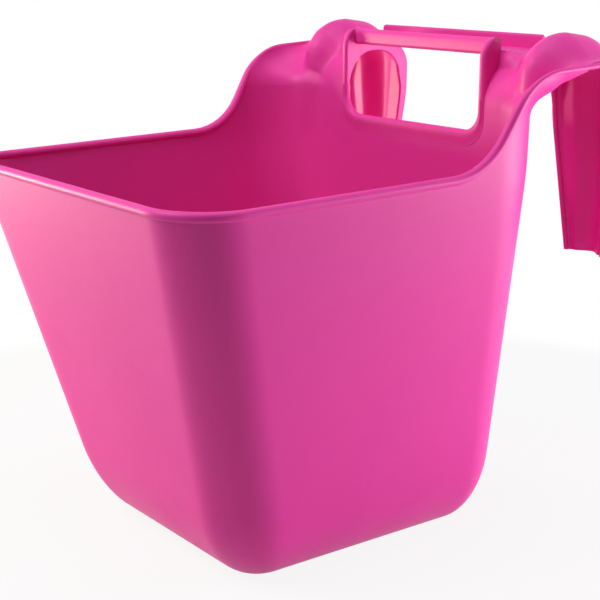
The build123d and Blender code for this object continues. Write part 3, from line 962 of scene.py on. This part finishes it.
# %% [markdown]
# The plastic is satin rather than glossy, and its reflections are weak, as polyethylene's are.
# The clouding mixes in a slightly deeper pink.

# %% The plastic
def moulded_plastic(name, colour, deep, rough):
    """Pigmented polyethylene: clouded colour, orange-peel bump, draw marks and uneven gloss."""
    material = bpy.data.materials.new(name)
    material.use_nodes = True
    tree = material.node_tree
    shader = tree.nodes["Principled BSDF"]
    place = Shade(tree).node("ShaderNodeTexCoord", {}, {}, "Object")
    cloud = noise(place, 9.0, 3.0)
    fleck = noise(place, 240.0, 4.0, 0.65)
    peel = noise(place, 900.0, 2.0)
    wave = noise(place, 28.0, 2.0)
    drawn = noise(stretched(place, (130.0, 130.0, 5.0)), 1.0, 3.0)
    rubbed = only_over(noise(place, 22.0, 4.0, 0.6), 0.56, 0.72) * drawn
    amount = cloud * 0.8 + fleck * 0.25 + drawn * 0.12 - 0.26
    plug(tree, shader.inputs["Base Color"], blended(amount, colour, deep))
    gloss = cloud * 0.10 + fleck * 0.08 + rubbed * 0.10 + (rough - 0.11)
    plug(tree, shader.inputs["Roughness"], gloss)
    bumps = {"Strength": 0.12, "Distance": 0.0006, "Height": peel * 0.35 + wave + drawn * 0.12}
    plug(tree, shader.inputs["Normal"], place.node("ShaderNodeBump", {}, bumps, "Normal"))
    shader.inputs["IOR"].default_value = 1.5
    shader.inputs["Specular IOR Level"].default_value = 0.3
    return material


pink = moulded_plastic("pink_polyethylene", (0.82, 0.045, 0.37), (0.72, 0.035, 0.32), 0.5)
for piece in pieces:
    piece.data.materials.clear()
    piece.data.materials.append(pink)
for cad in nodes.values():
    for slot in cad.material_slots:
        slot.material = pink
print("materials", [m.name for m in bpy.data.materials])

# %% [markdown]
# ## Floor, light and camera
# The bucket stands on a white floor in a white surround, like a shop photograph. The white comes
# from what the camera and reflections see, not from more light on the bucket, and the floor
# keeps a faint shadow.

# %% White floor
def seen_as_white(tree):
    """1 for rays from the camera, a reflection or a clear material, 0 for light on the object."""
    kinds = ("Is Camera Ray", "Is Glossy Ray", "Is Transmission Ray")
    camera_ray, glossy_ray, clear_ray = Shade(tree).node("ShaderNodeLightPath", {}, {}, *kinds)
    return camera_ray + glossy_ray + clear_ray


def white_floor(paint, shadow_share):
    """Pale matt floor that keeps the shadow by the bucket and turns plain white further out."""
    material = bpy.data.materials.new("white_floor")
    material.use_nodes = True
    tree = material.node_tree
    matt = tree.nodes["Principled BSDF"]
    matt.inputs["Base Color"].default_value = (paint, paint, paint, 1)
    matt.inputs["Roughness"].default_value = 0.9
    start = Shade(tree)
    glow = start.node("ShaderNodeEmission", {}, {}, "Emission")
    place = start.node("ShaderNodeTexCoord", {}, {}, "Object")
    reach = start.node("ShaderNodeVectorMath", {"operation": "LENGTH"}, {0: place}, "Value")
    limits = {"Value": (reach - 0.16) * 2.6, "Min": 1 - shadow_share, "Max": 1.0}
    amount = start.node("ShaderNodeClamp", {}, limits, "Result") * seen_as_white(tree)
    values = {0: amount, 1: Shade(tree, matt.outputs[0]), 2: glow}
    mixed = start.node("ShaderNodeMixShader", {}, values, 0)
    plug(tree, tree.nodes["Material Output"].inputs["Surface"], mixed)
    return material


bpy.ops.mesh.primitive_plane_add(size=16.0, location=(0, 0, 0))
floor = bpy.context.object
floor.name = "floor"
floor.data.materials.append(white_floor(paint=0.7, shadow_share=0.12))
print("floor ready")

# %% [markdown]
# The surround gives the bucket itself almost no light, so the lamps shape it.

# %% Surround
ambient = 0.02
world = bpy.data.worlds.new("surround")
bpy.context.scene.world = world
world.use_nodes = True
tree = world.node_tree
background = tree.nodes["Background"]
plug(tree, background.inputs["Strength"], seen_as_white(tree) * (1 - ambient) + ambient)
background.inputs["Color"].default_value = (1, 1, 1, 1)
print("surround ready")

# %% [markdown]
# A low, warm lamp on the left lights the leaning front, and a low white one behind on the right
# lights the side. The round corner between them faces the camera and stays darker, as in the
# photograph. Two more, in front and above, lift the inside, the rim and the hooks.

# %% Lamps
def lamp(name, place, target, size, power, colour):
    """Square soft lamp that faces a point."""
    data = bpy.data.lights.new(name, "AREA")
    data.shape, data.size, data.energy, data.color = "SQUARE", size, power, colour
    made = bpy.data.objects.new(name, data)
    bpy.context.scene.collection.objects.link(made)
    made.location = place
    toward = Vector(target) - Vector(place)
    made.rotation_euler = toward.to_track_quat("-Z", "Y").to_euler()


lamp("left_soft", (-1.15, -0.55, 0.1), (0, -0.05, 0.15), 0.4, 20, (1.0, 0.96, 0.70))
lamp("right_soft", (0.54, 0.70, 0.2), (0, -0.05, 0.15), 0.4, 7.4, (1.0, 1.0, 1.0))
lamp("front_soft", (-0.3, -0.9, 1.2), (0, 0, 0.2), 0.7, 12.5, (1.0, 0.97, 0.94))
lamp("top_soft", (0.2, 0.0, 1.5), (0, 0, 0.2), 0.8, 7.4, (1.0, 0.92, 1.0))

# %% [markdown]
# The camera repeats the photograph's place and lens, as they were solved from the photograph. Its
# distance is measured from the plane of the back wall.

# %% Camera
lens_data = bpy.data.cameras.new("camera")
lens_data.lens, lens_data.sensor_width = 82.26, 36.0
camera = bpy.data.objects.new("camera", lens_data)
bpy.context.scene.collection.objects.link(camera)
azimuth, tilt = math.radians(53.2), math.radians(14.3)
level = math.cos(tilt)
camera.location = (0.7744, (back_y - 684.0) * MM, 0.4077)
toward = Vector((-math.sin(azimuth) * level, math.cos(azimuth) * level, -math.sin(tilt)))
camera.rotation_euler = toward.to_track_quat("-Z", "Y").to_euler()
bpy.context.scene.camera = camera
bpy.context.scene.view_settings.view_transform = "Standard"
print("camera at", [round(v, 4) for v in camera.location])
